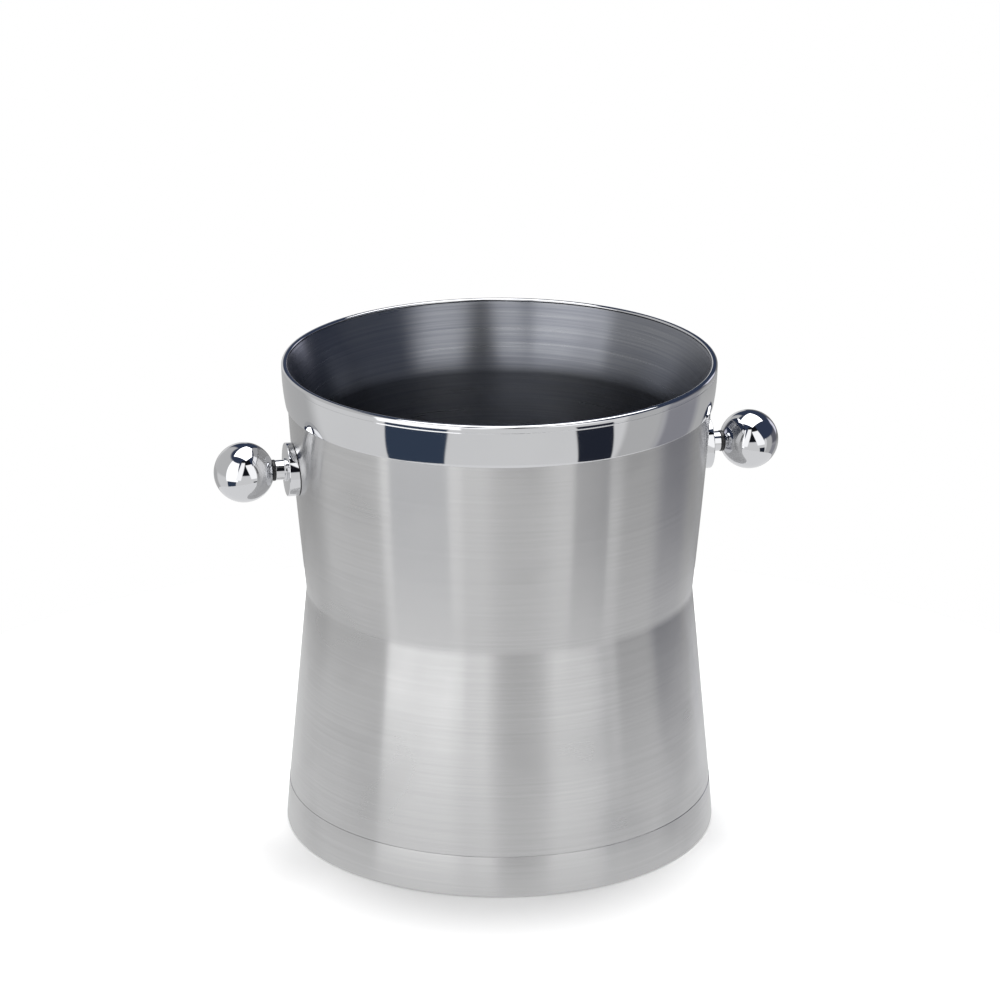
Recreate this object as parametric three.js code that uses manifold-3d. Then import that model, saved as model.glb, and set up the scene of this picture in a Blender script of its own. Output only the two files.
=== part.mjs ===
// A double-walled steel champagne bucket with a pinched waist and two ball knobs.
// Millimetres, +Z up. The origin is on the bucket's axis, level with the face it stands on.
// The knobs lie along X: the left one points to -X and the right one to +X.

import * as THREE from 'three';
import { mergeVertices } from 'three/addons/utils/BufferGeometryUtils.js';
import Module from 'manifold-3d';

const wasm = await Module();
wasm.setup();

// Driving dimensions -------------------------------------------------------------------------

const HEIGHT = 243.5;
const SHEET = 0.8;                 // every formed wall
const FIT = 0.1;                   // clearance between nested walls
const SEGMENTS = 48;               // facets round the bucket
const KNOB_SEGMENTS = 20;          // facets round a knob's axis
const EDGE = 0.3;                  // softening of the knobs' small edges

const WAIST = { z: 124.6, r: 97.75 };
const WAIST_SLOPE = 0.0985;        // how fast the upper wall widens just above the waist
const LAP = 7;                     // overlap of the two outer walls inside the waist seam

const BAND = { bottom: 222.2, bottomR: 106.65, top: 240, topR: 108.5 };
const BAND_SHOULDER = { r: 108.2, z: 229.9 };    // control point of the band's soft flare
const SHOULDER = { r: 105.65, slope: 0.05 };     // upper wall where it goes under the band
const SHELL_TOP = 236;

const MOUTH = { r: 105.55, z: 242.1 };           // top edge of the liner, under the lip
const LIP = { outerRound: 1.3, innerRound: 0.9 };

const FOOT = { height: 21, topR: 107.96, bottomR: 109.5, round: 1.2, flangeInnerR: 100 };
const SHELL_FOOT_R = 107.6;        // lower wall where it rises out of the foot band

const WELL = { shoulderZ: 207, shoulderR: 93.5, bottomR: 92.5, floorZ: 7, cornerR: 12 };
const MOUTH_SLOPE = 0.45;          // funnel of the mouth, radius gained for each unit of height
const WELL_SLOPE = 0.04;

const BASE = { dishR: 92, flangeR: 95.5, edgeR: 107.4, dishZ: 3.8 };

const KNOB_Z = 192.8;
const BALL_R = 15;
const BALL_X = 129.3;              // ball centre from the bucket's axis
const STEM_R = 5;
const STEM_ROOT = { r: 5.8, length: 1.1 };
const NECK_RING = { r: 5.3, start: 113.8 };
const ROSETTE = { r: 13.4, face: 108.35, round: 0.5 };
const WALL_GAP = 0.3;              // rosette and backing plate stand this far off the wall

const STUD = { r: 2.95, boreR: 3.15, holeR: 3.3, start: 95.4, end: 126.8, boreEnd: 127.6 };
const PLATE = { width: 20, height: 26, thickness: 1.2, cornerR: 4 };
const WASHER = { r: 6, thickness: 1.0, seat: 100.7 };
const LOCK_WASHER = { r: 5.4, thickness: 1.3, slit: 0.25 };
const NUT = { acrossFlats: 10, thickness: 3 };

// Finishes -----------------------------------------------------------------------------------

const finish = (color, roughness) => new THREE.MeshStandardMaterial({ color, roughness, metalness: 1 });
const brushedSteel = finish(0xb7b7b6, 0.35);
const satinSteel = finish(0x8f8f92, 0.4);
const mirrorSteel = finish(0xe4e4e6, 0.06);
const zincSteel = finish(0xa3a6a8, 0.45);
const darkRing = new THREE.MeshStandardMaterial({ color: 0x1c1c20, roughness: 0.5, metalness: 0 });

// Shape helpers ------------------------------------------------------------------------------

const vector = ([r, h]) => new THREE.Vector2(r, h);
const closed = (outline) => [...outline, outline[0]];

// Turns an outline of [radius, height] points about the height axis. The outline runs
// anticlockwise with the radius across and the height up, and closes or ends on the axis.
function turned(outline, segments) {
  return new THREE.LatheGeometry(outline.map(vector), segments);
}

function aboutZ(outline) {
  return turned(outline, SEGMENTS).rotateX(Math.PI / 2);
}

// Outlines here are [radius, distance from the bucket's axis], turned about the knob's axis.
function aboutKnobAxis(outline) {
  return turned(outline, KNOB_SEGMENTS).rotateZ(-Math.PI / 2).translate(0, 0, KNOB_Z);
}

// A flat shape drawn across the knob's axis and thickened from one distance to another.
function alongKnobAxis(shape, start, length) {
  const body = new THREE.ExtrudeGeometry(shape, { depth: length, bevelEnabled: false, curveSegments: 12 });
  return body.rotateX(Math.PI / 2).rotateZ(Math.PI / 2).translate(start, 0, KNOB_Z);
}

// A quarter round from one angle to the other, as [radius, height] points.
function arc(centreR, centreH, radius, from, to, steps) {
  const points = [];
  for (let i = 0; i <= steps; i += 1) {
    const angle = from + ((to - from) * i) / steps;
    points.push([centreR + radius * Math.cos(angle), centreH + radius * Math.sin(angle)]);
  }
  return points;
}

function bend(start, control, end, steps) {
  const curve = new THREE.QuadraticBezierCurve(vector(start), vector(control), vector(end));
  return curve.getPoints(steps).map((p) => [p.x, p.y]);
}

// Where a line through a with slope da meets one through b with slope db, as [radius, height].
function corner(a, da, b, db) {
  const height = (b[0] - a[0] + da * a[1] - db * b[1]) / (da - db);
  return [a[0] + da * (height - a[1]), height];
}

// The line moved sideways by a distance, to its left as it runs.
function offset(line, distance) {
  const unit = (a, b) => vector(b).sub(vector(a)).normalize();
  return line.map((point, i) => {
    const before = unit(line[Math.max(i - 1, 0)], line[Math.max(i, 1)]);
    const after = unit(line[Math.min(i, line.length - 2)], line[Math.min(i + 1, line.length - 1)]);
    const along = before.clone().add(after).normalize();
    const reach = distance / along.dot(after);
    return [point[0] - along.y * reach, point[1] + along.x * reach];
  });
}

const inward = (line, distance) => line.map(([r, h]) => [r - distance, h]);

function solid(geometry) {
  const plain = geometry.clone();
  plain.deleteAttribute('normal');
  plain.deleteAttribute('uv');
  const merged = mergeVertices(plain, 1e-4);
  return new wasm.Manifold(new wasm.Mesh({
    numProp: 3,
    vertProperties: Float32Array.from(merged.attributes.position.array),
    triVerts: Uint32Array.from(merged.index.array),
  }));
}

function geometryOf(manifold) {
  const { vertProperties, triVerts } = manifold.getMesh();
  const geometry = new THREE.BufferGeometry();
  geometry.setAttribute('position', new THREE.BufferAttribute(vertProperties, 3));
  geometry.setIndex(new THREE.BufferAttribute(triVerts, 1));
  geometry.computeVertexNormals();
  return geometry;
}

// Outer walls --------------------------------------------------------------------------------

// The upper wall's face: it leaves the waist as a cone and eases to a steeper one at the top.
const waistPoint = [WAIST.r, WAIST.z];
const shoulderPoint = [SHOULDER.r, BAND.bottom];
const upperFace = [
  ...bend(waistPoint, corner(waistPoint, WAIST_SLOPE, shoulderPoint, SHOULDER.slope), shoulderPoint, 6),
  [SHOULDER.r + SHOULDER.slope * (SHELL_TOP - BAND.bottom), SHELL_TOP],
];

// The part of it that the knobs' pieces lie against.
const KNOB_SPAN = 45;
const upperFaceAtKnob = upperFace.filter(([, z]) => Math.abs(z - KNOB_Z) < KNOB_SPAN);

// A stretch of the upper wall moved inward by one distance and thickened inward by another.
function upperWallLayer(distance, thickness) {
  const face = inward(upperFaceAtKnob, distance);
  return aboutZ(closed([...face, ...inward(face, thickness).reverse()]));
}

function knobHoles() {
  const drill = new THREE.CylinderGeometry(STUD.holeR, STUD.holeR, 2 * BALL_X, KNOB_SEGMENTS);
  return solid(drill.rotateZ(-Math.PI / 2).translate(0, 0, KNOB_Z));
}

function upperShell() {
  const shell = aboutZ(closed([...upperFace, ...inward(upperFace, SHEET).reverse()]));
  return geometryOf(solid(shell).subtract(knobHoles()));
}

// The lower wall steps inward at both ends: under the foot band, and inside the upper wall.
function lowerShell() {
  const footFace = (z) => FOOT.bottomR + ((FOOT.topR - FOOT.bottomR) * z) / FOOT.height - SHEET - FIT;
  const lapFace = (z) => WAIST.r + WAIST_SLOPE * (z - WAIST.z) - SHEET - FIT;
  const footEnd = SHEET + FIT + SHEET + FIT;
  const footStep = FOOT.height + FIT;
  const seam = WAIST.z - FIT;
  const lapTop = WAIST.z + LAP;
  const stepHeight = 2 * SHEET;
  const outer = [
    [footFace(footEnd), footEnd],
    [footFace(footStep), footStep],
    [SHELL_FOOT_R, footStep + SHEET / 2],
    [WAIST.r, seam],
    [lapFace(seam), seam],
    [lapFace(lapTop), lapTop],
  ];
  const inner = [
    [lapFace(lapTop) - SHEET, lapTop],
    [lapFace(seam) - SHEET, seam],
    [WAIST.r - SHEET, seam - stepHeight],
    [SHELL_FOOT_R - SHEET, footStep + SHEET / 2],
    [footFace(footStep) - SHEET, footStep - SHEET / 2],
    [footFace(footEnd) - SHEET, footEnd],
  ];
  return aboutZ(closed([...outer, ...inner]));
}

// Rim and foot -------------------------------------------------------------------------------

function rimBand() {
  const edge = SHEET / 2;
  const face = bend([BAND.bottomR, BAND.bottom + edge], [BAND_SHOULDER.r, BAND_SHOULDER.z],
    [BAND.topR, BAND.top], 4);
  const lowerEdge = [
    [BAND.bottomR - SHEET, BAND.bottom + edge],
    [BAND.bottomR - SHEET + edge / 2, BAND.bottom],
    [BAND.bottomR - edge / 2, BAND.bottom],
  ];
  return aboutZ(closed([...lowerEdge, ...face, ...inward(face.slice(1), SHEET).reverse()]));
}

// A channel over the tops of the band and the liner, with a narrow flat land along its crown.
function rimLip() {
  const outer = LIP.outerRound;
  const inner = LIP.innerRound;
  const line = [
    [BAND.topR, BAND.top],
    ...arc(BAND.topR - outer, HEIGHT - outer, outer, 0, Math.PI / 2, 2),
    ...arc(MOUTH.r + inner, HEIGHT - inner, inner, Math.PI / 2, Math.PI, 2),
    [MOUTH.r, MOUTH.z],
  ];
  return aboutZ(closed([...line, ...offset(line, SHEET).reverse()]));
}

function footBand() {
  const slope = (FOOT.topR - FOOT.bottomR) / FOOT.height;
  const line = [
    [FOOT.flangeInnerR, 0],
    ...arc(FOOT.bottomR - FOOT.round, FOOT.round, FOOT.round, -Math.PI / 2, 0, 3),
    [FOOT.topR - slope * SHEET / 2, FOOT.height - SHEET / 2],
    [FOOT.topR - SHEET / 2, FOOT.height],
  ];
  const inner = [
    [FOOT.topR - SHEET, FOOT.height],
    [FOOT.bottomR - SHEET, FOOT.round],
    [FOOT.bottomR - FOOT.round, SHEET],
    [FOOT.flangeInnerR, SHEET],
  ];
  return aboutZ(closed([...line, ...inner]));
}

// A shallow dished disc whose rim lies on the foot band's flange.
function basePlate() {
  const flangeZ = SHEET + FIT + SHEET;
  const top = [
    [BASE.edgeR, flangeZ],
    [BASE.flangeR, flangeZ],
    [BASE.dishR, BASE.dishZ],
    [0, BASE.dishZ],
  ];
  return aboutZ([...offset(top, SHEET).reverse(), ...top]);
}

// Liner --------------------------------------------------------------------------------------

// One drawn pot: flat floor, rounded corner, nearly straight well and a funnelled mouth.
function innerLiner() {
  const mouth = [MOUTH.r, MOUTH.z];
  const shoulder = [WELL.shoulderR, WELL.shoulderZ];
  const cornerZ = WELL.floorZ + WELL.cornerR;
  const face = [
    ...bend(mouth, corner(mouth, MOUTH_SLOPE, shoulder, WELL_SLOPE), shoulder, 5),
    ...arc(WELL.bottomR - WELL.cornerR, cornerZ, WELL.cornerR, 0, -Math.PI / 2, 3),
    [0, WELL.floorZ],
  ];
  return aboutZ([...offset(face, SHEET).reverse(), ...face]);
}

// Knobs --------------------------------------------------------------------------------------

const neckEnd = BALL_X - Math.sqrt(BALL_R ** 2 - NECK_RING.r ** 2);

function ball() {
  const seatAngle = Math.asin((neckEnd - BALL_X) / BALL_R);
  return aboutKnobAxis([
    [0, STUD.boreEnd],
    [STUD.boreR, STUD.boreEnd],
    [STUD.boreR, neckEnd],
    ...arc(0, BALL_X, BALL_R, seatAngle, Math.PI / 2, 12),
  ]);
}

function bored(outline) {
  const starts = outline[0][1];
  const ends = outline[outline.length - 1][1];
  return aboutKnobAxis(closed([[STUD.boreR, starts], ...outline, [STUD.boreR, ends]]));
}

function neckRing() {
  return bored([
    [STEM_R, NECK_RING.start],
    [NECK_RING.r, NECK_RING.start + EDGE],
    [NECK_RING.r, neckEnd],
  ]);
}

function stem() {
  const rootEnd = ROSETTE.face + STEM_ROOT.length;
  return bored([
    [STEM_ROOT.r, ROSETTE.face],
    [STEM_ROOT.r, rootEnd - EDGE],
    [STEM_ROOT.r - EDGE, rootEnd],
    [STEM_R, rootEnd],
    [STEM_R, NECK_RING.start],
  ]);
}

// A thick disc with a softened rim, hollowed at the back to sit on the curved wall.
function rosette() {
  const back = WAIST.r;
  const disc = bored([
    [ROSETTE.r, back],
    ...arc(ROSETTE.r - ROSETTE.round, ROSETTE.face - ROSETTE.round, ROSETTE.round, 0, Math.PI / 2, 2),
  ]);
  return geometryOf(solid(disc).subtract(solid(upperWallLayer(-WALL_GAP, BALL_R))));
}

function stud() {
  return aboutKnobAxis([[0, STUD.start], [STUD.r, STUD.start], [STUD.r, STUD.end], [0, STUD.end]]);
}

// Spreads the pull of the stud over the thin wall, and follows its curve.
function backingPlate() {
  const halfW = PLATE.width / 2;
  const halfH = PLATE.height / 2;
  const r = PLATE.cornerR;
  const outline = new THREE.Shape()
    .absarc(halfW - r, halfH - r, r, 0, Math.PI / 2, false)
    .absarc(r - halfW, halfH - r, r, Math.PI / 2, Math.PI, false)
    .absarc(r - halfW, r - halfH, r, Math.PI, Math.PI * 1.5, false)
    .absarc(halfW - r, r - halfH, r, Math.PI * 1.5, Math.PI * 2, false);
  outline.closePath();
  const blank = alongKnobAxis(outline, WAIST.r, BALL_R);
  const layer = upperWallLayer(SHEET + WALL_GAP, PLATE.thickness);
  return geometryOf(solid(blank).intersect(solid(layer)).subtract(knobHoles()));
}

function washer() {
  return bored([[WASHER.r, WASHER.seat - WASHER.thickness], [WASHER.r, WASHER.seat]]);
}

// A spring washer: a ring with one slit, given as an angle in radians.
function lockWasher() {
  const from = LOCK_WASHER.slit / 2;
  const to = Math.PI * 2 - from;
  const ring = new THREE.Shape()
    .absarc(0, 0, LOCK_WASHER.r, from, to, false)
    .absarc(0, 0, STUD.boreR, to, from, true);
  ring.closePath();
  return alongKnobAxis(ring, WASHER.seat - WASHER.thickness - LOCK_WASHER.thickness, LOCK_WASHER.thickness);
}

function nut() {
  const across = NUT.acrossFlats / Math.sqrt(3);
  const corners = Array.from({ length: 6 }, (_, i) => {
    const angle = (i * Math.PI) / 3;
    return new THREE.Vector2(across * Math.cos(angle), across * Math.sin(angle));
  });
  const hexagon = new THREE.Shape(corners);
  hexagon.holes.push(new THREE.Path().absarc(0, 0, STUD.boreR, 0, Math.PI * 2, true));
  const end = WASHER.seat - WASHER.thickness - LOCK_WASHER.thickness;
  return alongKnobAxis(hexagon, end - NUT.thickness, NUT.thickness);
}

// Assembly -----------------------------------------------------------------------------------

function named(name, geometry, material) {
  const mesh = new THREE.Mesh(geometry, material);
  mesh.name = name;
  return mesh;
}

function knob(side, turn) {
  const group = new THREE.Group();
  group.rotation.z = turn;
  group.add(
    named(`${side}_ball`, ball(), mirrorSteel),
    named(`${side}_neck_ring`, neckRing(), darkRing),
    named(`${side}_stem`, stem(), mirrorSteel),
    named(`${side}_rosette`, rosette(), mirrorSteel),
    named(`${side}_stud`, stud(), zincSteel),
    named(`${side}_backing_plate`, backingPlate(), zincSteel),
    named(`${side}_washer`, washer(), zincSteel),
    named(`${side}_lock_washer`, lockWasher(), zincSteel),
    named(`${side}_nut`, nut(), zincSteel),
  );
  return group;
}

const bucket = new THREE.Group();
bucket.name = 'champagne_bucket';
bucket.add(
  named('upper_shell', upperShell(), brushedSteel),
  named('lower_shell', lowerShell(), brushedSteel),
  named('rim_band', rimBand(), mirrorSteel),
  named('rim_lip', rimLip(), mirrorSteel),
  named('foot_band', footBand(), brushedSteel),
  named('base_plate', basePlate(), satinSteel),
  named('inner_liner', innerLiner(), satinSteel),
  knob('left', Math.PI),
  knob('right', 0),
);

export default bucket;
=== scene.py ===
import math

import bpy
import numpy as np
from mathutils import Matrix, Vector


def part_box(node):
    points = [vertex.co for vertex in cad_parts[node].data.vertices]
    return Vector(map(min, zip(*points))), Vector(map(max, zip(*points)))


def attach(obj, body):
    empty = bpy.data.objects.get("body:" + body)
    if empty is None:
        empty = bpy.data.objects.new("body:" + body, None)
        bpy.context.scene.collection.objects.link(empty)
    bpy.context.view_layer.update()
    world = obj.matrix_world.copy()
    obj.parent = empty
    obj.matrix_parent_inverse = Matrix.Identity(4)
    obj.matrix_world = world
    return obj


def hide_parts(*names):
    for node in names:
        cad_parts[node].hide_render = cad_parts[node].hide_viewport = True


# A double-walled steel champagne bucket with a pinched waist and two ball knobs.
# Its origin is on the bucket's axis, level with the face it stands on, and the knobs lie along X.
# Outlines are written in millimetres and turned into metres when their mesh is made.

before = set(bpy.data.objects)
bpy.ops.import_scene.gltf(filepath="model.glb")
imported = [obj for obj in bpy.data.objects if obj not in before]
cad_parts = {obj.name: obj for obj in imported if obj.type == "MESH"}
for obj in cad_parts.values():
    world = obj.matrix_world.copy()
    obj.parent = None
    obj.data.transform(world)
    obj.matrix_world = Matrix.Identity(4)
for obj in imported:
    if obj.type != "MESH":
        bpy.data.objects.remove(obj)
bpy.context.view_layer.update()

MM = 0.001

# Camera -------------------------------------------------------------------------------------

CAMERA_AZIMUTH = math.radians(-11.76)
CAMERA_ELEVATION = math.radians(19.261)
CAMERA_DISTANCE = 2.0245
CAMERA_AIM = Vector((0.00027, -0.00006, 0.16903))
CAMERA_LENS = 144.717
CAMERA_SENSOR = 36.0

# Driving sizes, read from the CAD model where it holds them, in millimetres -----------------------

SHEET = 0.8
FIT = 0.1
ROUND_STEPS = 288           # facets round the bucket
KNOB_STEPS = 96             # facets round a knob's axis
CURVE_STEPS = 32            # points along a long curve
CORNER_STEPS = 5            # points round a softened corner
BEND_STEPS = 9              # points along each half of the waist's bend
ROUND_EDGE_STEPS = 14       # points round each edge of the lip
BALL_STEPS = 72             # points along a ball's outline
CORNER_SHARE = 0.45         # the most of a side that one corner's rounding may take
SAME_POINT = 1e-6           # points of an outline nearer than this are one point
ON_AXIS = 1e-9              # a radius under this is the axis itself
SHARP_ANGLE = math.radians(38)


def low(node):
    """Lowest corner of a CAD node, in millimetres."""
    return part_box(node)[0] / MM


def high(node):
    """Highest corner of a CAD node, in millimetres."""
    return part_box(node)[1] / MM


HEIGHT = high("rim_lip").z
WAIST_R = 97.75
WAIST_Z = low("upper_shell").z
WAIST_SLOPE = 0.0985
LAP = high("lower_shell").z - WAIST_Z

BAND_LOW = (106.65, low("rim_band").z)
BAND_BELLY = (108.2, 229.9)
BAND_TOP = (high("rim_band").x, high("rim_band").z)
SHOULDER_R = 105.65
SHOULDER_SLOPE = 0.05
SHELL_TOP = high("upper_shell").z

MOUTH = (105.55, high("inner_liner").z)
LIP_OUTER_ROUND = 1.3
LIP_INNER_ROUND = 0.9

FOOT_HEIGHT = high("foot_band").z
FOOT_TOP_R = 107.96
FOOT_R = high("foot_band").x
FOOT_ROUND = 1.2
FLANGE_INNER_R = 100.0
SHELL_FOOT_R = 107.8

WELL_SHOULDER = (93.5, 207.0)
WELL_BOTTOM_R = 92.5
WELL_FLOOR = 7.0
WELL_CORNER = 12.0
MOUTH_SLOPE = 0.45
WELL_SLOPE = 0.04

DISH_R = 92.0
DISH_Z = high("base_plate").z
DISH_FLANGE_R = 95.5
DISH_EDGE_R = high("base_plate").x

KNOB_Z = (low("right_ball").z + high("right_ball").z) / 2
BALL_R = (high("right_ball").z - low("right_ball").z) / 2
BALL_X = high("right_ball").x - BALL_R
STEM_R = 5.0
STEM_START = low("right_stem").x
STEM_END = high("right_stem").x
STEM_ROOT_R = 5.8
STEM_ROOT_LENGTH = 1.1
NECK_RING_R = 5.3
NECK_END = BALL_X - math.sqrt(BALL_R ** 2 - NECK_RING_R ** 2)
ROSETTE_R = 13.4
ROSETTE_ROUND = 0.5
WALL_GAP = 0.3
BORE_R = 3.15
BORE_END = 127.6

# Studio -------------------------------------------------------------------------------------

FLOOR_R = 380.0
FLOOR_STEPS = 96
FLOOR_DROP = 0.1            # the floor lies this far under the bucket, so the two never touch
FLOOR_COLOR = (0.93, 0.93, 0.93, 1)
FLOOR_IN_METAL = 0.84       # how bright the floor is where the metal mirrors it
WHITE = (1, 1, 1, 1)
NAVY = (0.040, 0.054, 0.095, 1)
SHADE = (0.04, 0.058, 0.095, 1)
BAR = (0.019, 0.023, 0.036, 1)
BLACK = (0.008, 0.009, 0.012, 1)


def grey(level, blue=1.0):
    """A neutral light of that strength, a little cooler where blue is above 1."""
    return (level, level, level * blue, 1)


# Cards and gaps round the bucket, each painted over the ones before it. A row holds the azimuth
# from and to, seen from the camera's side with the right positive, the elevation from and to and
# the softness of the edges, all in degrees, then how far the card leans to the right for each
# degree that it rises, and its light.
STUDIO = (
    (-181, 181, -91, 4, 3, 0, grey(0.78)),              # low glow all round
    (-181, -118, -91, 4, 8, 0, grey(0.50)),             # dimmer behind on the left
    (-158, -60, -8, 50, 4, 0, grey(0.60)),              # tall grey wall on the left
    (-181, -150, -4, 14, 4, 0, grey(0.75)),             # pale strip behind
    (128, 181, -91, 6, 5, 0, grey(0.50)),               # dimmer behind on the right
    (128, 181, -16, 8, 5, 0, grey(0.20)),               # dark strip behind on the right
    (134, 150, -6, 16, 3, 0, grey(0.90, 1.15)),         # cool narrow light behind on the right
    (-10, 45, 5, 62, 1.2, 0, BLACK),                    # gap between the front cards
    (-67, -20, -20, 50, 1.0, 0, grey(1.55)),            # front left card
    (-24, -4, -14, 54, 2.0, 0.29, grey(1.3)),           # its leaning inner part
    (28, 60, -10, 44, 1.2, -0.36, grey(1.3)),           # front right card
    (61, 70, -20, 8, 1.5, 0, grey(0.85)),               # narrow light beside it
    (71, 98, -60, 8, 2.5, 0, grey(0.54)),               # grey side wall on the right
    (98, 131, -60, -16, 5, 0, grey(0.30, 1.1)),         # darker further round, low down
    (98, 131, -16, 8, 5, 0, grey(0.14, 1.2)),           # darkest, just above that
    (-56, -20, -41, -20, 0.7, 0.32, SHADE),             # dark bar low on the left
    (33, 55, -41, -20, 0.7, -0.36, BAR),                # dark bar low on the right
)

# The softbox overhead, as slopes from the vertical along its two sides, and its light. A
# direction meets it only where its upward share is above the lowest.
SOFTBOX_LONG = (-0.30, 0.92)
SOFTBOX_WIDE = (-0.49, 0.45)
SOFTBOX_BLUR = 0.02
SOFTBOX_LOWEST = 0.1
LEAST_RISE = 0.05           # keeps the slopes finite for directions near the horizon
SOFTBOX_LIGHT = grey(3.2)

# What lights the floor: an even glow, and a soft overhead lamp, tilted to come from behind the
# bucket and turned a little to the right, so that the shadow falls to the front.
FLOOR_FILL = grey(0.90)
LAMP_TILT = math.radians(12)
LAMP_SIDE = math.radians(3)
LAMP_SPREAD = math.radians(21)
LAMP_STRENGTH = 2.15

# Outlines -----------------------------------------------------------------------------------


def bend(start, control, end, steps=CURVE_STEPS):
    """Points of a quadratic curve: start times (1-t)^2, control times 2t(1-t), end times t^2."""
    t = np.linspace(0, 1, steps)[:, None]
    start, control, end = (np.asarray(p, float) for p in (start, control, end))
    return (1 - t) ** 2 * start + 2 * t * (1 - t) * control + t ** 2 * end


def arc(centre, radius, start, end, steps=CURVE_STEPS):
    """Points of a circle round centre, from one angle to another in degrees."""
    angle = np.radians(np.linspace(start, end, steps))
    return np.asarray(centre, float) + radius * np.column_stack([np.cos(angle), np.sin(angle)])


def meet(a, slope_a, b, slope_b):
    """Where the line through a and the line through b cross; a slope is radius over height."""
    height = (b[0] - a[0] + slope_a * a[1] - slope_b * b[1]) / (slope_a - slope_b)
    return (a[0] + slope_a * (height - a[1]), height)


def offset(line, distance):
    """The line moved to its left by distance: each point goes along the mean of its two normals."""
    step = np.diff(line, axis=0)
    unit = step / np.linalg.norm(step, axis=1)[:, None]
    before = np.vstack([unit[:1], unit])
    after = np.vstack([unit, unit[-1:]])
    mean = before + after
    mean /= np.linalg.norm(mean, axis=1)[:, None]
    reach = distance / np.sum(mean * after, axis=1)[:, None]
    return line + reach * np.column_stack([-mean[:, 1], mean[:, 0]])


def outline(*parts):
    """One closed outline from points and curves, each part with how far its corners are rounded.

    A corner becomes a quadratic curve that starts and ends that far from it, or nearly half-way
    along its shorter side where that is nearer."""
    points = np.vstack([np.atleast_2d(p) for p, _ in parts])
    cut = np.concatenate([np.full(len(np.atleast_2d(p)), c, float) for p, c in parts])
    to_last = np.roll(points, 1, axis=0) - points
    to_next = np.roll(points, -1, axis=0) - points
    last_side = np.linalg.norm(to_last, axis=1)
    next_side = np.linalg.norm(to_next, axis=1)
    cut = np.minimum(cut, CORNER_SHARE * np.minimum(last_side, next_side))
    start = points + to_last * (cut / last_side)[:, None]
    end = points + to_next * (cut / next_side)[:, None]
    t = np.linspace(0, 1, CORNER_STEPS)[:, None, None]
    curve = (1 - t) ** 2 * start + 2 * t * (1 - t) * points + t ** 2 * end
    rounded = curve.transpose(1, 0, 2).reshape(-1, 2)
    gap = np.linalg.norm(rounded - np.roll(rounded, 1, axis=0), axis=1)
    return rounded[gap > SAME_POINT]


# Meshes -------------------------------------------------------------------------------------


def mesh_object(name, points, faces):
    """A smooth-shaded object at the origin from points in millimetres and lists of corners."""
    mesh = bpy.data.meshes.new(name)
    mesh.from_pydata((points * MM).tolist(), [], faces)
    mesh.shade_smooth()
    mesh.set_sharp_from_angle(angle=SHARP_ANGLE)
    made = bpy.data.objects.new(name, mesh)
    bpy.context.scene.collection.objects.link(made)
    return made


def ring_faces(index):
    """Quads between neighbouring rows of a closed grid of point numbers, with the corners that
    share a point dropped, so that a column on the axis gives triangles."""
    along = np.roll(index, -1, axis=0)
    up = np.roll(index, -1, axis=1)
    across = np.roll(along, -1, axis=1)
    quads = np.stack([index, along, across, up], axis=-1).reshape(-1, 4)
    at_start = quads[:, 0] == quads[:, 1]
    at_end = quads[:, 2] == quads[:, 3]
    whole = quads[~at_start & ~at_end]
    opening = quads[at_start & ~at_end][:, [0, 2, 3]]
    closing = quads[at_end & ~at_start][:, [0, 1, 2]]
    return [*whole.tolist(), *opening.tolist(), *closing.tolist()]


def turned_grid(profile, steps):
    """Point grid and point numbers of a profile turned about the height axis.

    A point is (r cos a, r sin a, h) for the angle a; points with r = 0 are one point each."""
    angle = np.linspace(0, 2 * np.pi, steps, endpoint=False)[:, None]
    radius, height = profile[:, 0], profile[:, 1]
    grid = np.stack([radius * np.cos(angle), radius * np.sin(angle),
                     np.broadcast_to(height, (steps, len(profile)))], axis=-1)
    index = np.arange(steps * len(profile)).reshape(steps, -1)
    return grid, np.where(radius < ON_AXIS, index[:1], index)


def grid_object(name, grid, index):
    """An object from a point grid, with the points that no face uses left out."""
    used, compact = np.unique(index, return_inverse=True)
    points = grid.reshape(-1, 3)[used]
    return mesh_object(name, points, ring_faces(compact.reshape(index.shape)))


def turned(name, profile):
    """A body of revolution about the bucket's axis: (r cos a, r sin a, h)."""
    return grid_object(name, *turned_grid(profile, ROUND_STEPS))


def knob_points(grid, side):
    """A grid turned about Z laid along a knob's axis: the height becomes the distance from the
    bucket's axis, and the left knob is the right one turned half round."""
    return np.stack([side * grid[..., 2], side * grid[..., 0], grid[..., 1] + KNOB_Z], axis=-1)


def turned_knob(name, profile, side):
    """A body of revolution about a knob's axis."""
    grid, index = turned_grid(profile, KNOB_STEPS)
    return grid_object(name, knob_points(grid, side), index)


# Outer walls --------------------------------------------------------------------------------

SHEET_EDGE = 0.25           # rounding of a sheet's hidden edges
LAP_EDGE = 0.1              # the same on the parts under the foot band and the upper wall
SEAM_EDGE = 0.02            # the seams at the waist and the foot are closed tight and crisp
WAIST_SOFT = 2.2            # how far up and down from the seam the cones start to bend
WAIST = (WAIST_R, WAIST_Z)
SHOULDER = (SHOULDER_R, BAND_LOW[1])


def waist_bend():
    """The soft bend through the waist, as its lower and its upper half: one quadratic curve whose
    control point is the waist, cut at its middle, which lies at the waist's own height."""
    waist = np.array(WAIST)
    lower_slope = (WAIST_R - SHELL_FOOT_R) / (WAIST_Z - FOOT_HEIGHT)
    below = waist - WAIST_SOFT * np.array([lower_slope, 1])
    above = waist + WAIST_SOFT * np.array([WAIST_SLOPE, 1])
    middle = (below + 2 * waist + above) / 4
    return (bend(below, (below + waist) / 2, middle, BEND_STEPS),
            bend(middle, (waist + above) / 2, above, BEND_STEPS))


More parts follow.
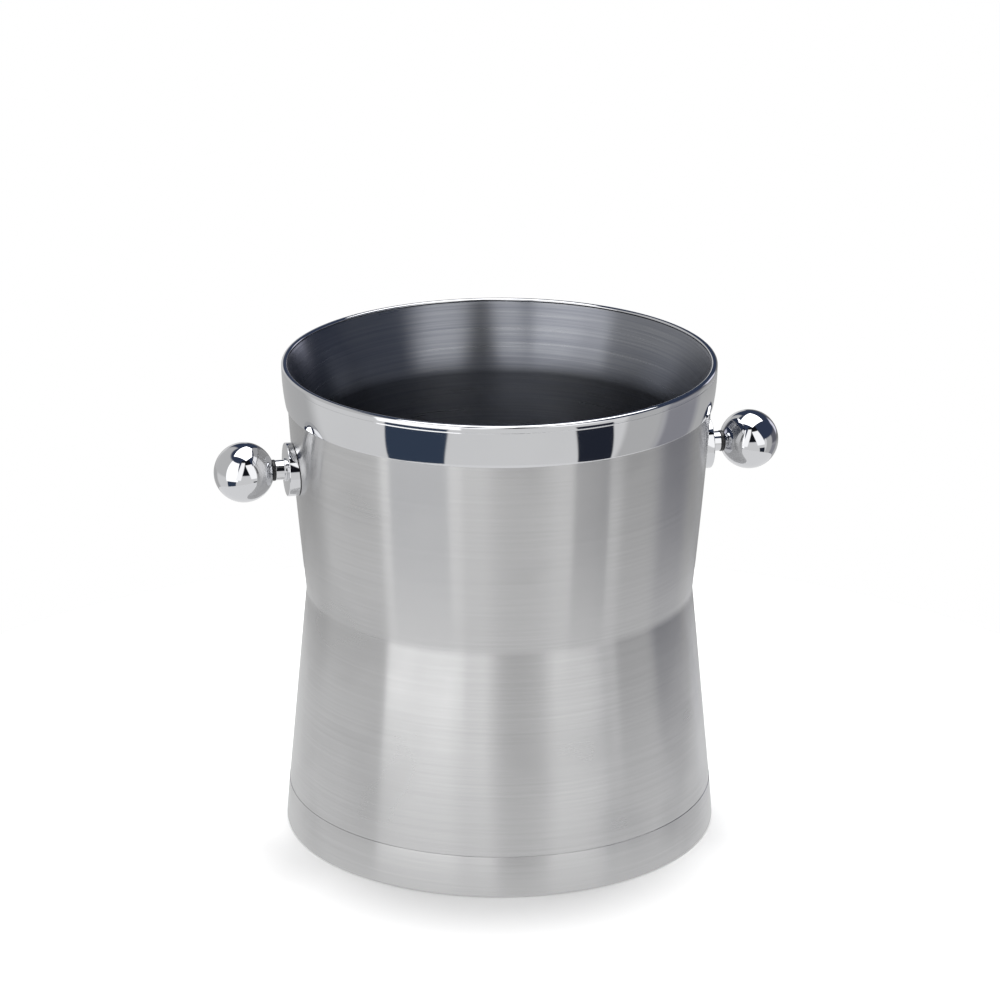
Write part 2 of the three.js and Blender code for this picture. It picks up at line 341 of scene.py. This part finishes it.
def upper_wall_face():
    """Outer face of the upper wall: the bend at the waist, a quadratic curve up to the shoulder
    that leaves both with the slopes given above, then a straight cone under the rim band."""
    top = (SHOULDER_R + SHOULDER_SLOPE * (SHELL_TOP - SHOULDER[1]), SHELL_TOP)
    waist = waist_bend()[1]
    control = meet(waist[-1], WAIST_SLOPE, SHOULDER, SHOULDER_SLOPE)
    return np.vstack([waist[:-1], bend(waist[-1], control, SHOULDER), top])


def upper_wall():
    """The upper cone: its outer face and the same line one sheet further in."""
    face = upper_wall_face()
    inner = (face - (SHEET, 0))[::-1]
    return turned("upper_wall", outline(
        (face[0], SEAM_EDGE), (face[1:-1], 0), (face[-1], SHEET_EDGE),
        (inner[0], SHEET_EDGE), (inner[1:-1], 0), (inner[-1], SHEET_EDGE)))


def lower_wall():
    """The lower cone, stepped inward under the foot band and inside the upper wall."""
    lean = (FOOT_TOP_R - FOOT_R) / FOOT_HEIGHT

    def foot_face(z):
        return (FOOT_R + lean * z - SHEET - FIT, z)

    def lap_face(z):
        return (WAIST_R + WAIST_SLOPE * (z - WAIST_Z) - SHEET - FIT, z)

    foot_end = 2 * (SHEET + FIT)
    foot_step = FOOT_HEIGHT + SEAM_EDGE
    seam = WAIST_Z - SEAM_EDGE
    lap_top = WAIST_Z + LAP
    foot = [foot_face(foot_end), foot_face(foot_step)]
    waist = waist_bend()[0] - (0, SEAM_EDGE)
    lap = [lap_face(seam), lap_face(lap_top)]
    thinner = np.array([SHEET, 0])
    inner = [lap_face(lap_top) - thinner, lap_face(seam) - thinner,
             (WAIST_R - SHEET, seam - 2 * SHEET), (SHELL_FOOT_R - SHEET, foot_step + FIT),
             foot_face(foot_step) - thinner, foot_face(foot_end) - thinner]
    return turned("lower_wall", outline(
        (foot, LAP_EDGE), ((SHELL_FOOT_R, foot_step + FIT), SEAM_EDGE), (waist[:-1], 0),
        (waist[-1], SEAM_EDGE), (lap, LAP_EDGE), (inner, SHEET_EDGE)))


# Rim and foot -------------------------------------------------------------------------------

FINE_EDGE = 0.12            # rounding of the edges where collar, lip and liner meet
BEAD = 0.75                 # rounding of the collar's lower edge
DISH_FOLD = 1.0             # rounding of the base plate's folds


def rim_band():
    """The collar round the rim: a soft flare with a rounded lower edge, one sheet thick."""
    face = bend(BAND_LOW, BAND_BELLY, BAND_TOP)
    inner = (face - (SHEET, 0))[::-1]
    return turned("rim_collar", outline(
        (face[0], BEAD), (face[1:-1], 0), (face[-1], FINE_EDGE),
        (inner[0], FINE_EDGE), (inner[1:-1], 0), (inner[-1], 0.3)))


def rim_lip():
    """The rolled lip: two quarter rounds with a flat land between them, and the same line offset
    inward by one sheet, as a channel over the tops of the collar and the liner."""
    outer = LIP_OUTER_ROUND
    inside = LIP_INNER_ROUND
    line = np.vstack([
        BAND_TOP,
        arc((BAND_TOP[0] - outer, HEIGHT - outer), outer, 0, 90, ROUND_EDGE_STEPS),
        arc((MOUTH[0] + inside, HEIGHT - inside), inside, 90, 180, ROUND_EDGE_STEPS),
        MOUTH,
    ])
    inner = offset(line, SHEET)[::-1]
    return turned("rolled_lip", outline(
        (line[0], FINE_EDGE), (line[1:-1], 0), (line[-1], FINE_EDGE),
        (inner[0], FINE_EDGE), (inner[1:-1], 0), (inner[-1], FINE_EDGE)))


def foot_band():
    """The foot's band: a flat flange underneath, a rounded corner and a leaning face."""
    outer = arc((FOOT_R - FOOT_ROUND, FOOT_ROUND), FOOT_ROUND, -90, 0, steps=12)
    top = (FOOT_TOP_R, FOOT_HEIGHT)
    return turned("foot_collar", outline(
        ((FLANGE_INNER_R, 0), 0.2), (outer, 0), (top, 0.15),
        ((FOOT_TOP_R - SHEET, FOOT_HEIGHT), 0.2), ((FOOT_R - SHEET, FOOT_ROUND), 0.4),
        ((FOOT_R - FOOT_ROUND, SHEET), 0.4), ((FLANGE_INNER_R, SHEET), 0.2)))


def base_plate():
    """A shallow dished disc that lies on the foot's flange."""
    flange = 2 * SHEET + FIT
    top = np.array([(DISH_EDGE_R, flange), (DISH_FLANGE_R, flange), (DISH_R, DISH_Z), (0, DISH_Z)])
    under = offset(top, SHEET)[::-1]
    return turned("dished_base", outline(
        (under[0], 0), (under[1:-1], DISH_FOLD), (under[-1], 0.3),
        (top[0], 0.3), (top[1:-1], DISH_FOLD), (top[-1], 0)))


def liner():
    """The pot inside: a funnelled mouth, a nearly straight well, a rounded corner and a flat
    floor, as one line from the mouth to the axis and the same line one sheet outward."""
    control = meet(MOUTH, MOUTH_SLOPE, WELL_SHOULDER, WELL_SLOPE)
    face = np.vstack([
        bend(MOUTH, control, WELL_SHOULDER),
        arc((WELL_BOTTOM_R - WELL_CORNER, WELL_FLOOR + WELL_CORNER), WELL_CORNER, 0, -90, steps=16),
        [0, WELL_FLOOR],
    ])
    outside = offset(face, SHEET)[::-1]
    return turned("liner_pot", outline(
        (outside[:-1], 0), (outside[-1], FINE_EDGE), (face[0], FINE_EDGE), (face[1:], 0)))


# Knobs --------------------------------------------------------------------------------------


def ball(side, word):
    """A ball bored for the stud and cut flat where it sits on its ring."""
    seat = math.degrees(math.asin((NECK_END - BALL_X) / BALL_R))
    profile = outline(
        ((0, BORE_END), 0), ((BORE_R, BORE_END), 0.2), ((BORE_R, NECK_END), 0.2),
        (arc((0, BALL_X), BALL_R, seat, 90, BALL_STEPS), 0))
    return turned_knob(f"{word}_knob_ball", profile, side)


def bored(name, side, *parts):
    """A turned part with the stud's bore through it, from its first height to its last."""
    start = np.atleast_2d(parts[0][0])[0, 1]
    end = np.atleast_2d(parts[-1][0])[-1, 1]
    return turned_knob(name, outline(((BORE_R, start), 0.1), *parts, ((BORE_R, end), 0.1)), side)


def neck_ring(side, word):
    """The thin ring that the ball sits on, near-black as painted shade for the gap between ball and
    stem.
    """
    return bored(f"{word}_knob_ring", side, ((NECK_RING_R, STEM_END), 0.25),
                 ((NECK_RING_R, NECK_END), 0.15))


def stem(side, word):
    """A turned stem with a small step at its root."""
    root_end = STEM_START + STEM_ROOT_LENGTH
    return bored(f"{word}_knob_stem", side,
                 ((STEM_ROOT_R, STEM_START), 0.1), ((STEM_ROOT_R, root_end), 0.35),
                 ((STEM_R, root_end), 0.2), ((STEM_R, STEM_END), 0.2))


def wall_distance(y, z):
    """How far from the bucket's axis, along the knob's axis, the upper wall's face is at (y, z):
    the square root of the wall's radius squared less y squared."""
    face = upper_wall_face()
    radius = np.interp(z, face[:, 1], face[:, 0])
    return np.sqrt(radius ** 2 - y ** 2)


def rosette(side, word):
    """A thick disc with a softened rim, whose back keeps the wall gap from the curved wall."""
    front = STEM_START
    back_bore = (BORE_R, 0.0)
    back_rim = (ROSETTE_R, 0.0)
    profile = np.vstack([
        back_bore, back_rim,
        arc((ROSETTE_R - ROSETTE_ROUND, front - ROSETTE_ROUND), ROSETTE_ROUND, 0, 90, steps=8),
        (BORE_R, front),
    ])
    grid, index = turned_grid(profile, KNOB_STEPS)
    back = grid[:, :2]
    back[..., 2] = wall_distance(back[..., 0], back[..., 1] + KNOB_Z) + WALL_GAP
    return grid_object(f"{word}_rosette_disc", knob_points(grid, side), index)


# Node helpers -------------------------------------------------------------------------------


def add(tree, kind, settings=None, inputs=None):
    """A node of that kind, with its settings, and its inputs set to numbers or linked."""
    made = tree.nodes.new(kind)
    for name, value in (settings or {}).items():
        setattr(made, name, value)
    for name, value in (inputs or {}).items():
        socket = made.inputs[name]
        if isinstance(value, bpy.types.NodeSocket):
            tree.links.new(value, socket)
        else:
            socket.default_value = value
    return made


def maths(tree, operation, *values):
    """The result of one Math node."""
    inputs = dict(enumerate(values))
    return add(tree, "ShaderNodeMath", {"operation": operation}, inputs).outputs[0]


def blended(tree, factor, a, b):
    """Colour a where factor is 0 and colour b where it is 1."""
    made = add(tree, "ShaderNodeMix", {"data_type": "RGBA"}, {0: factor, 6: a, 7: b})
    return made.outputs[2]


def step_up(tree, value, edge, blur):
    """0 below the edge and 1 above it, easing over blur on either side."""
    return add(tree, "ShaderNodeMapRange", {"interpolation_type": "SMOOTHSTEP"},
               {0: value, 1: edge - blur, 2: edge + blur, 3: 0.0, 4: 1.0}).outputs[0]


def within(tree, value, span, blur):
    """1 inside the span and 0 outside it."""
    above = step_up(tree, value, span[0], blur)
    beyond = step_up(tree, value, span[1], blur)
    return maths(tree, "SUBTRACT", above, beyond)


def between(tree, value, from_low, from_high, to_low, to_high):
    """The value carried linearly from one range to another."""
    return add(tree, "ShaderNodeMapRange", None,
               {0: value, 1: from_low, 2: from_high, 3: to_low, 4: to_high}).outputs[0]


# Shared surface effects ---------------------------------------------------------------------


def new_group(name, inputs, outputs):
    """An empty shader node group with those named sockets: (name, kind, value) and (name, kind)."""
    tree = bpy.data.node_groups.new(name, "ShaderNodeTree")
    for socket, kind, value in inputs:
        made = tree.interface.new_socket(socket, in_out="INPUT", socket_type=kind)
        if value is not None:
            made.default_value = value
    for socket, kind in outputs:
        tree.interface.new_socket(socket, in_out="OUTPUT", socket_type=kind)
    return tree, tree.nodes.new("NodeGroupInput"), tree.nodes.new("NodeGroupOutput")


def brushing_group():
    """Fine lines that run round the bucket, as a height and as light and dark streaks.

    The noise is read at (x, y, z + r), squeezed across the lines by Lines and along them by Run,
    so that a line keeps its height on a wall and its radius on a floor."""
    tree, given, result = new_group(
        "brushing_round_the_axis",
        (("Position", "NodeSocketVector", None), ("Lines", "NodeSocketFloat", 2500.0),
         ("Run", "NodeSocketFloat", 16.0)),
        (("Height", "NodeSocketFloat"), ("Streaks", "NodeSocketFloat")))
    x, y, z = add(tree, "ShaderNodeSeparateXYZ", None, {0: given.outputs["Position"]}).outputs
    radius = maths(tree, "SQRT", maths(tree, "ADD", maths(tree, "MULTIPLY", x, x),
                                       maths(tree, "MULTIPLY", y, y)))
    across = maths(tree, "ADD", z, radius)
    run = given.outputs["Run"]
    lines = given.outputs["Lines"]

    def lines_at(share, run_share, detail):
        stretched = add(tree, "ShaderNodeCombineXYZ", None, {
            0: maths(tree, "MULTIPLY", x, maths(tree, "MULTIPLY", run, run_share)),
            1: maths(tree, "MULTIPLY", y, maths(tree, "MULTIPLY", run, run_share)),
            2: maths(tree, "MULTIPLY", across, maths(tree, "MULTIPLY", lines, share))})
        return add(tree, "ShaderNodeTexNoise", None,
                   {"Vector": stretched.outputs[0], "Scale": 1.0, "Detail": detail,
                    "Roughness": 0.6}).outputs[0]

    fine = lines_at(share=1.0, run_share=1.0, detail=3.0)
    broad = lines_at(share=0.3, run_share=0.6, detail=2.0)
    tree.links.new(maths(tree, "ADD", maths(tree, "MULTIPLY", fine, 0.7),
                         maths(tree, "MULTIPLY", broad, 0.3)), result.inputs["Height"])
    tree.links.new(maths(tree, "ADD", maths(tree, "MULTIPLY", fine, 0.45),
                         maths(tree, "MULTIPLY", broad, 0.55)), result.inputs["Streaks"])
    return tree


def handling_group():
    """Marks left by hands and cloths: Smudges are soft patches and Scratches fine short lines."""
    tree, given, result = new_group(
        "handling_marks",
        (("Position", "NodeSocketVector", None), ("Patch Scale", "NodeSocketFloat", 22.0),
         ("Scratch Scale", "NodeSocketFloat", 140.0)),
        (("Smudges", "NodeSocketFloat"), ("Scratches", "NodeSocketFloat")))
    position = given.outputs["Position"]
    patch = add(tree, "ShaderNodeTexNoise", None,
                {"Vector": position, "Scale": given.outputs["Patch Scale"], "Detail": 2.0,
                 "Roughness": 0.45, "Distortion": 0.4}).outputs[0]
    tree.links.new(between(tree, patch, 0.5, 0.78, 0.0, 1.0), result.inputs["Smudges"])
    hair = add(tree, "ShaderNodeTexNoise", None,
               {"Vector": position, "Scale": given.outputs["Scratch Scale"], "Detail": 2.0,
                "Distortion": 2.5}).outputs[0]
    ridge = maths(tree, "ABSOLUTE", maths(tree, "SUBTRACT", hair, 0.5))
    tree.links.new(between(tree, ridge, 0.0, 0.012, 1.0, 0.0), result.inputs["Scratches"])
    return tree


BRUSHING = brushing_group()
HANDLING = handling_group()


def place_group(tree, group, **inputs):
    """The group in a material, with its named inputs set; underscores stand for spaces."""
    made = tree.nodes.new("ShaderNodeGroup")
    made.node_tree = group
    for name, value in inputs.items():
        socket = made.inputs[name.replace("_", " ")]
        if isinstance(value, bpy.types.NodeSocket):
            tree.links.new(value, socket)
        else:
            socket.default_value = value
    return made


# Materials ----------------------------------------------------------------------------------

BRUSH_RUN = 14.0            # how fast a brushed line changes along its length
ACROSS_THE_LINES = 0.25     # a quarter turn from the tangent
SMUDGE_TONE = 0.86          # how light a full smudge is beside the darker streak

# Bump distances in metres: brushed lines, the waves of polished steel, and fine grain.
GROOVE = 0.00012
WAVE = 0.0002
GRAIN = 0.00005


def metal(name):
    """A material with a metallic shader. Returns it, its tree, its shader and its position."""
    material = bpy.data.materials.new(name)
    material.use_nodes = True
    tree = material.node_tree
    shader = tree.nodes["Principled BSDF"]
    shader.inputs["Metallic"].default_value = 1.0
    position = add(tree, "ShaderNodeTexCoord").outputs["Object"]
    return material, tree, shader, position


def drive(tree, shader, color, roughness, height, strength, distance):
    """Links a finish's colour, roughness and bump to its shader."""
    tree.links.new(color, shader.inputs["Base Color"])
    tree.links.new(roughness, shader.inputs["Roughness"])
    bump = add(tree, "ShaderNodeBump", None,
               {"Strength": strength, "Distance": distance, "Height": height})
    tree.links.new(bump.outputs[0], shader.inputs["Normal"])


def round_tangent(tree, shader, amount):
    """Stretches the gloss across lines that run round the bucket."""
    shader.inputs["Anisotropic"].default_value = amount
    shader.inputs["Anisotropic Rotation"].default_value = ACROSS_THE_LINES
    tangent = add(tree, "ShaderNodeTangent", {"direction_type": "RADIAL", "axis": "Z"})
    tree.links.new(tangent.outputs[0], shader.inputs["Tangent"])


def brushed_steel(name, dark, light, rough, lines, spread, depth, stretch):
    """Steel brushed round its axis, with about that many lines to the metre: streaks of a dark
    and a light grey, rougher by spread where dark and smoother by spread where light, smudges
    that dull it in patches, grooves with depth as their bump's strength, and a gloss stretched
    across the lines."""
    material, tree, shader, position = metal(name)
    brush = place_group(tree, BRUSHING, Position=position, Lines=lines, Run=BRUSH_RUN)
    marks = place_group(tree, HANDLING, Position=position, Patch_Scale=20.0)
    smudge = marks.outputs["Smudges"]
    streak = between(tree, brush.outputs["Streaks"], 0.36, 0.64, 0.0, 1.0)
    steel = blended(tree, streak, dark, light)
    dull = tuple(SMUDGE_TONE * c for c in dark[:3]) + (1,)
    color = blended(tree, maths(tree, "MULTIPLY", smudge, 0.35), steel, dull)
    grain = between(tree, streak, 0.0, 1.0, rough + spread, rough - spread)
    roughness = maths(tree, "ADD", grain, maths(tree, "MULTIPLY", smudge, 0.05))
    drive(tree, shader, color, roughness, brush.outputs["Height"],
          strength=depth, distance=GROOVE)
    round_tangent(tree, shader, stretch)
    return material


def mirror_steel():
    """Polished steel: nearly smooth, with faint smudges, hairlines and a slight waviness."""
    material, tree, shader, position = metal("mirror_polished_steel")
    marks = place_group(tree, HANDLING, Position=position, Patch_Scale=34.0, Scratch_Scale=110.0)
    smudge = marks.outputs["Smudges"]
    scratch = marks.outputs["Scratches"]
    color = blended(tree, maths(tree, "MULTIPLY", smudge, 0.3),
                    (0.70, 0.705, 0.72, 1), (0.64, 0.645, 0.66, 1))
    worn = maths(tree, "ADD", maths(tree, "MULTIPLY", smudge, 0.035),
                 maths(tree, "MULTIPLY", scratch, 0.02))
    roughness = maths(tree, "ADD", worn, 0.035)
    ripple = add(tree, "ShaderNodeTexNoise", None,
                 {"Vector": position, "Scale": 55.0, "Detail": 1.0}).outputs[0]
    drive(tree, shader, color, roughness, ripple, strength=0.12, distance=WAVE)
    return material


def zinc_steel():
    """Zinc-plated fasteners: a dull bluish grey with a fine mottle."""
    material, tree, shader, position = metal("zinc_plated_steel")
    mottle = add(tree, "ShaderNodeTexNoise", None,
                 {"Vector": position, "Scale": 900.0, "Detail": 4.0}).outputs[0]
    color = blended(tree, mottle, (0.42, 0.44, 0.46, 1), (0.60, 0.61, 0.62, 1))
    roughness = between(tree, mottle, 0.3, 0.7, 0.34, 0.5)
    drive(tree, shader, color, roughness, mottle, strength=0.2, distance=GRAIN)
    return material


def shadow_gap_ring_finish():
    """A ring whose near-black colour is painted shade for the shadowed gap between ball and stem, a
    little glossy, with a fine grain.
    """
    material, tree, shader, position = metal("dark_ring")
    shader.inputs["Metallic"].default_value = 0.0
    grain = add(tree, "ShaderNodeTexNoise", None,
                {"Vector": position, "Scale": 1800.0, "Detail": 3.0}).outputs[0]
    # near-black greys: painted shade for the gap between ball and stem
    color = blended(tree, grain, (0.004, 0.004, 0.006, 1), (0.012, 0.012, 0.015, 1))
    roughness = between(tree, grain, 0.3, 0.7, 0.22, 0.32)
    drive(tree, shader, color, roughness, grain, strength=0.25, distance=GRAIN)
    return material


def make_finishes():
    """Every finish by the name of the record's slot that it belongs to."""
    return {
        "brushed_wall": brushed_steel(
            "brushed_outer_steel", dark=(0.555, 0.555, 0.557, 1), light=(0.585, 0.585, 0.587, 1),
            rough=0.24, lines=2600.0, spread=0.005, depth=0.006, stretch=1.0),
        "mirror_trim": mirror_steel(),
        # The liner's greys are painted shade: far darker and bluer than the outer steel, they stand
        # in for the shade and the dark bluish reflections inside the well.
        "liner_steel": brushed_steel(
            "brushed_liner_painted_shade", dark=(0.225, 0.235, 0.270, 1), light=(0.315, 0.325, 0.350, 1),
            rough=0.29, lines=1900.0, spread=0.02, depth=0.03, stretch=0.8),
        "base_steel": brushed_steel(
            "satin_base_steel", dark=(0.44, 0.44, 0.45, 1), light=(0.52, 0.52, 0.53, 1),
            rough=0.42, lines=900.0, spread=0.03, depth=0.2, stretch=0.5),
        "zinc_hardware": zinc_steel(),
        # The neck ring's near-black is painted shade for the gap between ball and stem.
        "dark_ring": shadow_gap_ring_finish(),
    }


# Assembly -----------------------------------------------------------------------------------


def place(piece, node, slot, finishes):
    """The piece stands for its CAD node, rides on the bucket and takes its slot's finish."""
    piece.data.materials.append(finishes[slot])
    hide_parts(node)
    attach(piece, "root")


def make_bucket(finishes):
    """Every piece of the bucket, each standing for its CAD node."""
    place(upper_wall(), "upper_shell", "brushed_wall", finishes)
    place(lower_wall(), "lower_shell", "brushed_wall", finishes)
    place(rim_band(), "rim_band", "mirror_trim", finishes)
    place(rim_lip(), "rim_lip", "mirror_trim", finishes)
    place(foot_band(), "foot_band", "brushed_wall", finishes)
    place(base_plate(), "base_plate", "base_steel", finishes)
    place(liner(), "inner_liner", "liner_steel", finishes)
    for side, word in ((-1, "left"), (1, "right")):
        place(ball(side, word), f"{word}_ball", "mirror_trim", finishes)
        place(neck_ring(side, word), f"{word}_neck_ring", "dark_ring", finishes)
        place(stem(side, word), f"{word}_stem", "mirror_trim", finishes)
        place(rosette(side, word), f"{word}_rosette", "mirror_trim", finishes)
        for part in ("stud", "backing_plate", "washer", "lock_washer", "nut"):
            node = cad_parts[f"{word}_{part}"]
            node.data.materials.clear()
            node.data.materials.append(finishes["zinc_hardware"])


# Studio -------------------------------------------------------------------------------------


def make_floor():
    """A round pale table top, a fan of triangles about its middle. The camera sees it lit and
    shaded, and everything else sees it as an even glow."""
    angle = np.linspace(0, 2 * np.pi, FLOOR_STEPS, endpoint=False)
    rim = FLOOR_R * np.column_stack([np.cos(angle), np.sin(angle)])
    points = np.zeros((FLOOR_STEPS + 1, 3))
    points[:-1, :2] = rim
    points[:, 2] = -FLOOR_DROP
    corner = np.arange(FLOOR_STEPS)
    middle = np.full(FLOOR_STEPS, FLOOR_STEPS)
    faces = np.column_stack([corner, np.roll(corner, -1), middle]).tolist()
    floor = mesh_object("studio_floor", points, faces)
    material = bpy.data.materials.new("pale_floor")
    material.use_nodes = True
    tree = material.node_tree
    shader = tree.nodes["Principled BSDF"]
    seen = add(tree, "ShaderNodeLightPath").outputs["Is Camera Ray"]
    tree.links.new(blended(tree, seen, BLACK, FLOOR_COLOR), shader.inputs["Base Color"])
    shader.inputs["Emission Color"].default_value = WHITE
    tree.links.new(between(tree, seen, 0.0, 1.0, FLOOR_IN_METAL, 0.0),
                   shader.inputs["Emission Strength"])
    shader.inputs["Roughness"].default_value = 0.9
    shader.inputs["Specular IOR Level"].default_value = 0.0
    floor.data.materials.append(material)


def softbox_mask(tree, direction):
    """1 where the direction meets the softbox: its slopes from the vertical along two lines at
    45 degrees to X lie within the softbox's sides."""
    x, y, z = add(tree, "ShaderNodeSeparateXYZ", None, {0: direction}).outputs
    height = maths(tree, "MAXIMUM", z, LEAST_RISE)
    rise = maths(tree, "MULTIPLY", height, math.sqrt(2))
    long_way = maths(tree, "DIVIDE", maths(tree, "ADD", x, y), rise)
    wide_way = maths(tree, "DIVIDE", maths(tree, "SUBTRACT", x, y), rise)
    above = step_up(tree, z, SOFTBOX_LOWEST, SOFTBOX_BLUR)
    inside = maths(tree, "MULTIPLY", within(tree, long_way, SOFTBOX_LONG, SOFTBOX_BLUR),
                   within(tree, wide_way, SOFTBOX_WIDE, SOFTBOX_BLUR))
    return maths(tree, "MULTIPLY", inside, above)


def make_studio_light():
    """Soft cards all round, a softbox overhead and a dark ceiling, for the metal to mirror. Matt
    surfaces are lit by an even glow, and the camera sees white."""
    world = bpy.data.worlds.new("studio")
    bpy.context.scene.world = world
    world.use_nodes = True
    tree = world.node_tree
    direction = add(tree, "ShaderNodeTexCoord").outputs["Generated"]
    facing = add(tree, "ShaderNodeVectorRotate", {"rotation_type": "Z_AXIS"},
                 {"Vector": direction, "Angle": -CAMERA_AZIMUTH}).outputs[0]
    x, y, z = add(tree, "ShaderNodeSeparateXYZ", None, {0: facing}).outputs
    towards = maths(tree, "MULTIPLY", y, -1.0)
    azimuth = maths(tree, "DEGREES", maths(tree, "ARCTAN2", x, towards))
    elevation = maths(tree, "DEGREES", maths(tree, "ARCSINE", z))
    color = NAVY
    for left, right, bottom, top, blur, lean, light in STUDIO:
        upright = maths(tree, "SUBTRACT", azimuth, maths(tree, "MULTIPLY", elevation, lean))
        card = maths(tree, "MULTIPLY", within(tree, upright, (left, right), blur),
                     within(tree, elevation, (bottom, top), blur))
        color = blended(tree, card, color, light)
    color = blended(tree, softbox_mask(tree, direction), color, SOFTBOX_LIGHT)
    path = add(tree, "ShaderNodeLightPath")
    color = blended(tree, path.outputs["Is Diffuse Ray"], color, FLOOR_FILL)
    color = blended(tree, path.outputs["Is Camera Ray"], color, WHITE)
    tree.links.new(color, tree.nodes["Background"].inputs["Color"])


def make_lamp():
    """A soft overhead lamp, a little behind the bucket. It lights the floor, and the metal doesn't
    mirror it."""
    lamp = bpy.data.lights.new("overhead_lamp", "SUN")
    lamp.energy = LAMP_STRENGTH
    lamp.angle = LAMP_SPREAD
    holder = bpy.data.objects.new("overhead_lamp", lamp)
    turn = Matrix.Rotation(CAMERA_AZIMUTH - LAMP_SIDE, 4, "Z")
    holder.matrix_world = turn @ Matrix.Rotation(-LAMP_TILT, 4, "X")
    holder.visible_glossy = False
    bpy.context.scene.collection.objects.link(holder)


def make_camera():
    """The camera, looking along its azimuth and elevation at the aim point."""
    back = Vector((math.sin(CAMERA_AZIMUTH) * math.cos(CAMERA_ELEVATION),
                   -math.cos(CAMERA_AZIMUTH) * math.cos(CAMERA_ELEVATION),
                   math.sin(CAMERA_ELEVATION)))
    lens = bpy.data.cameras.new("camera")
    lens.lens = CAMERA_LENS
    lens.sensor_width = CAMERA_SENSOR
    camera = bpy.data.objects.new("camera", lens)
    camera.location = CAMERA_AIM + back * CAMERA_DISTANCE
    camera.rotation_mode = "QUATERNION"
    camera.rotation_quaternion = (-back).to_track_quat("-Z", "Y")
    bpy.context.scene.collection.objects.link(camera)
    bpy.context.scene.camera = camera


make_camera()
make_bucket(make_finishes())
make_floor()
make_studio_light()
make_lamp()
bpy.context.scene.view_settings.view_transform = "Standard"

bpy.context.view_layer.update()
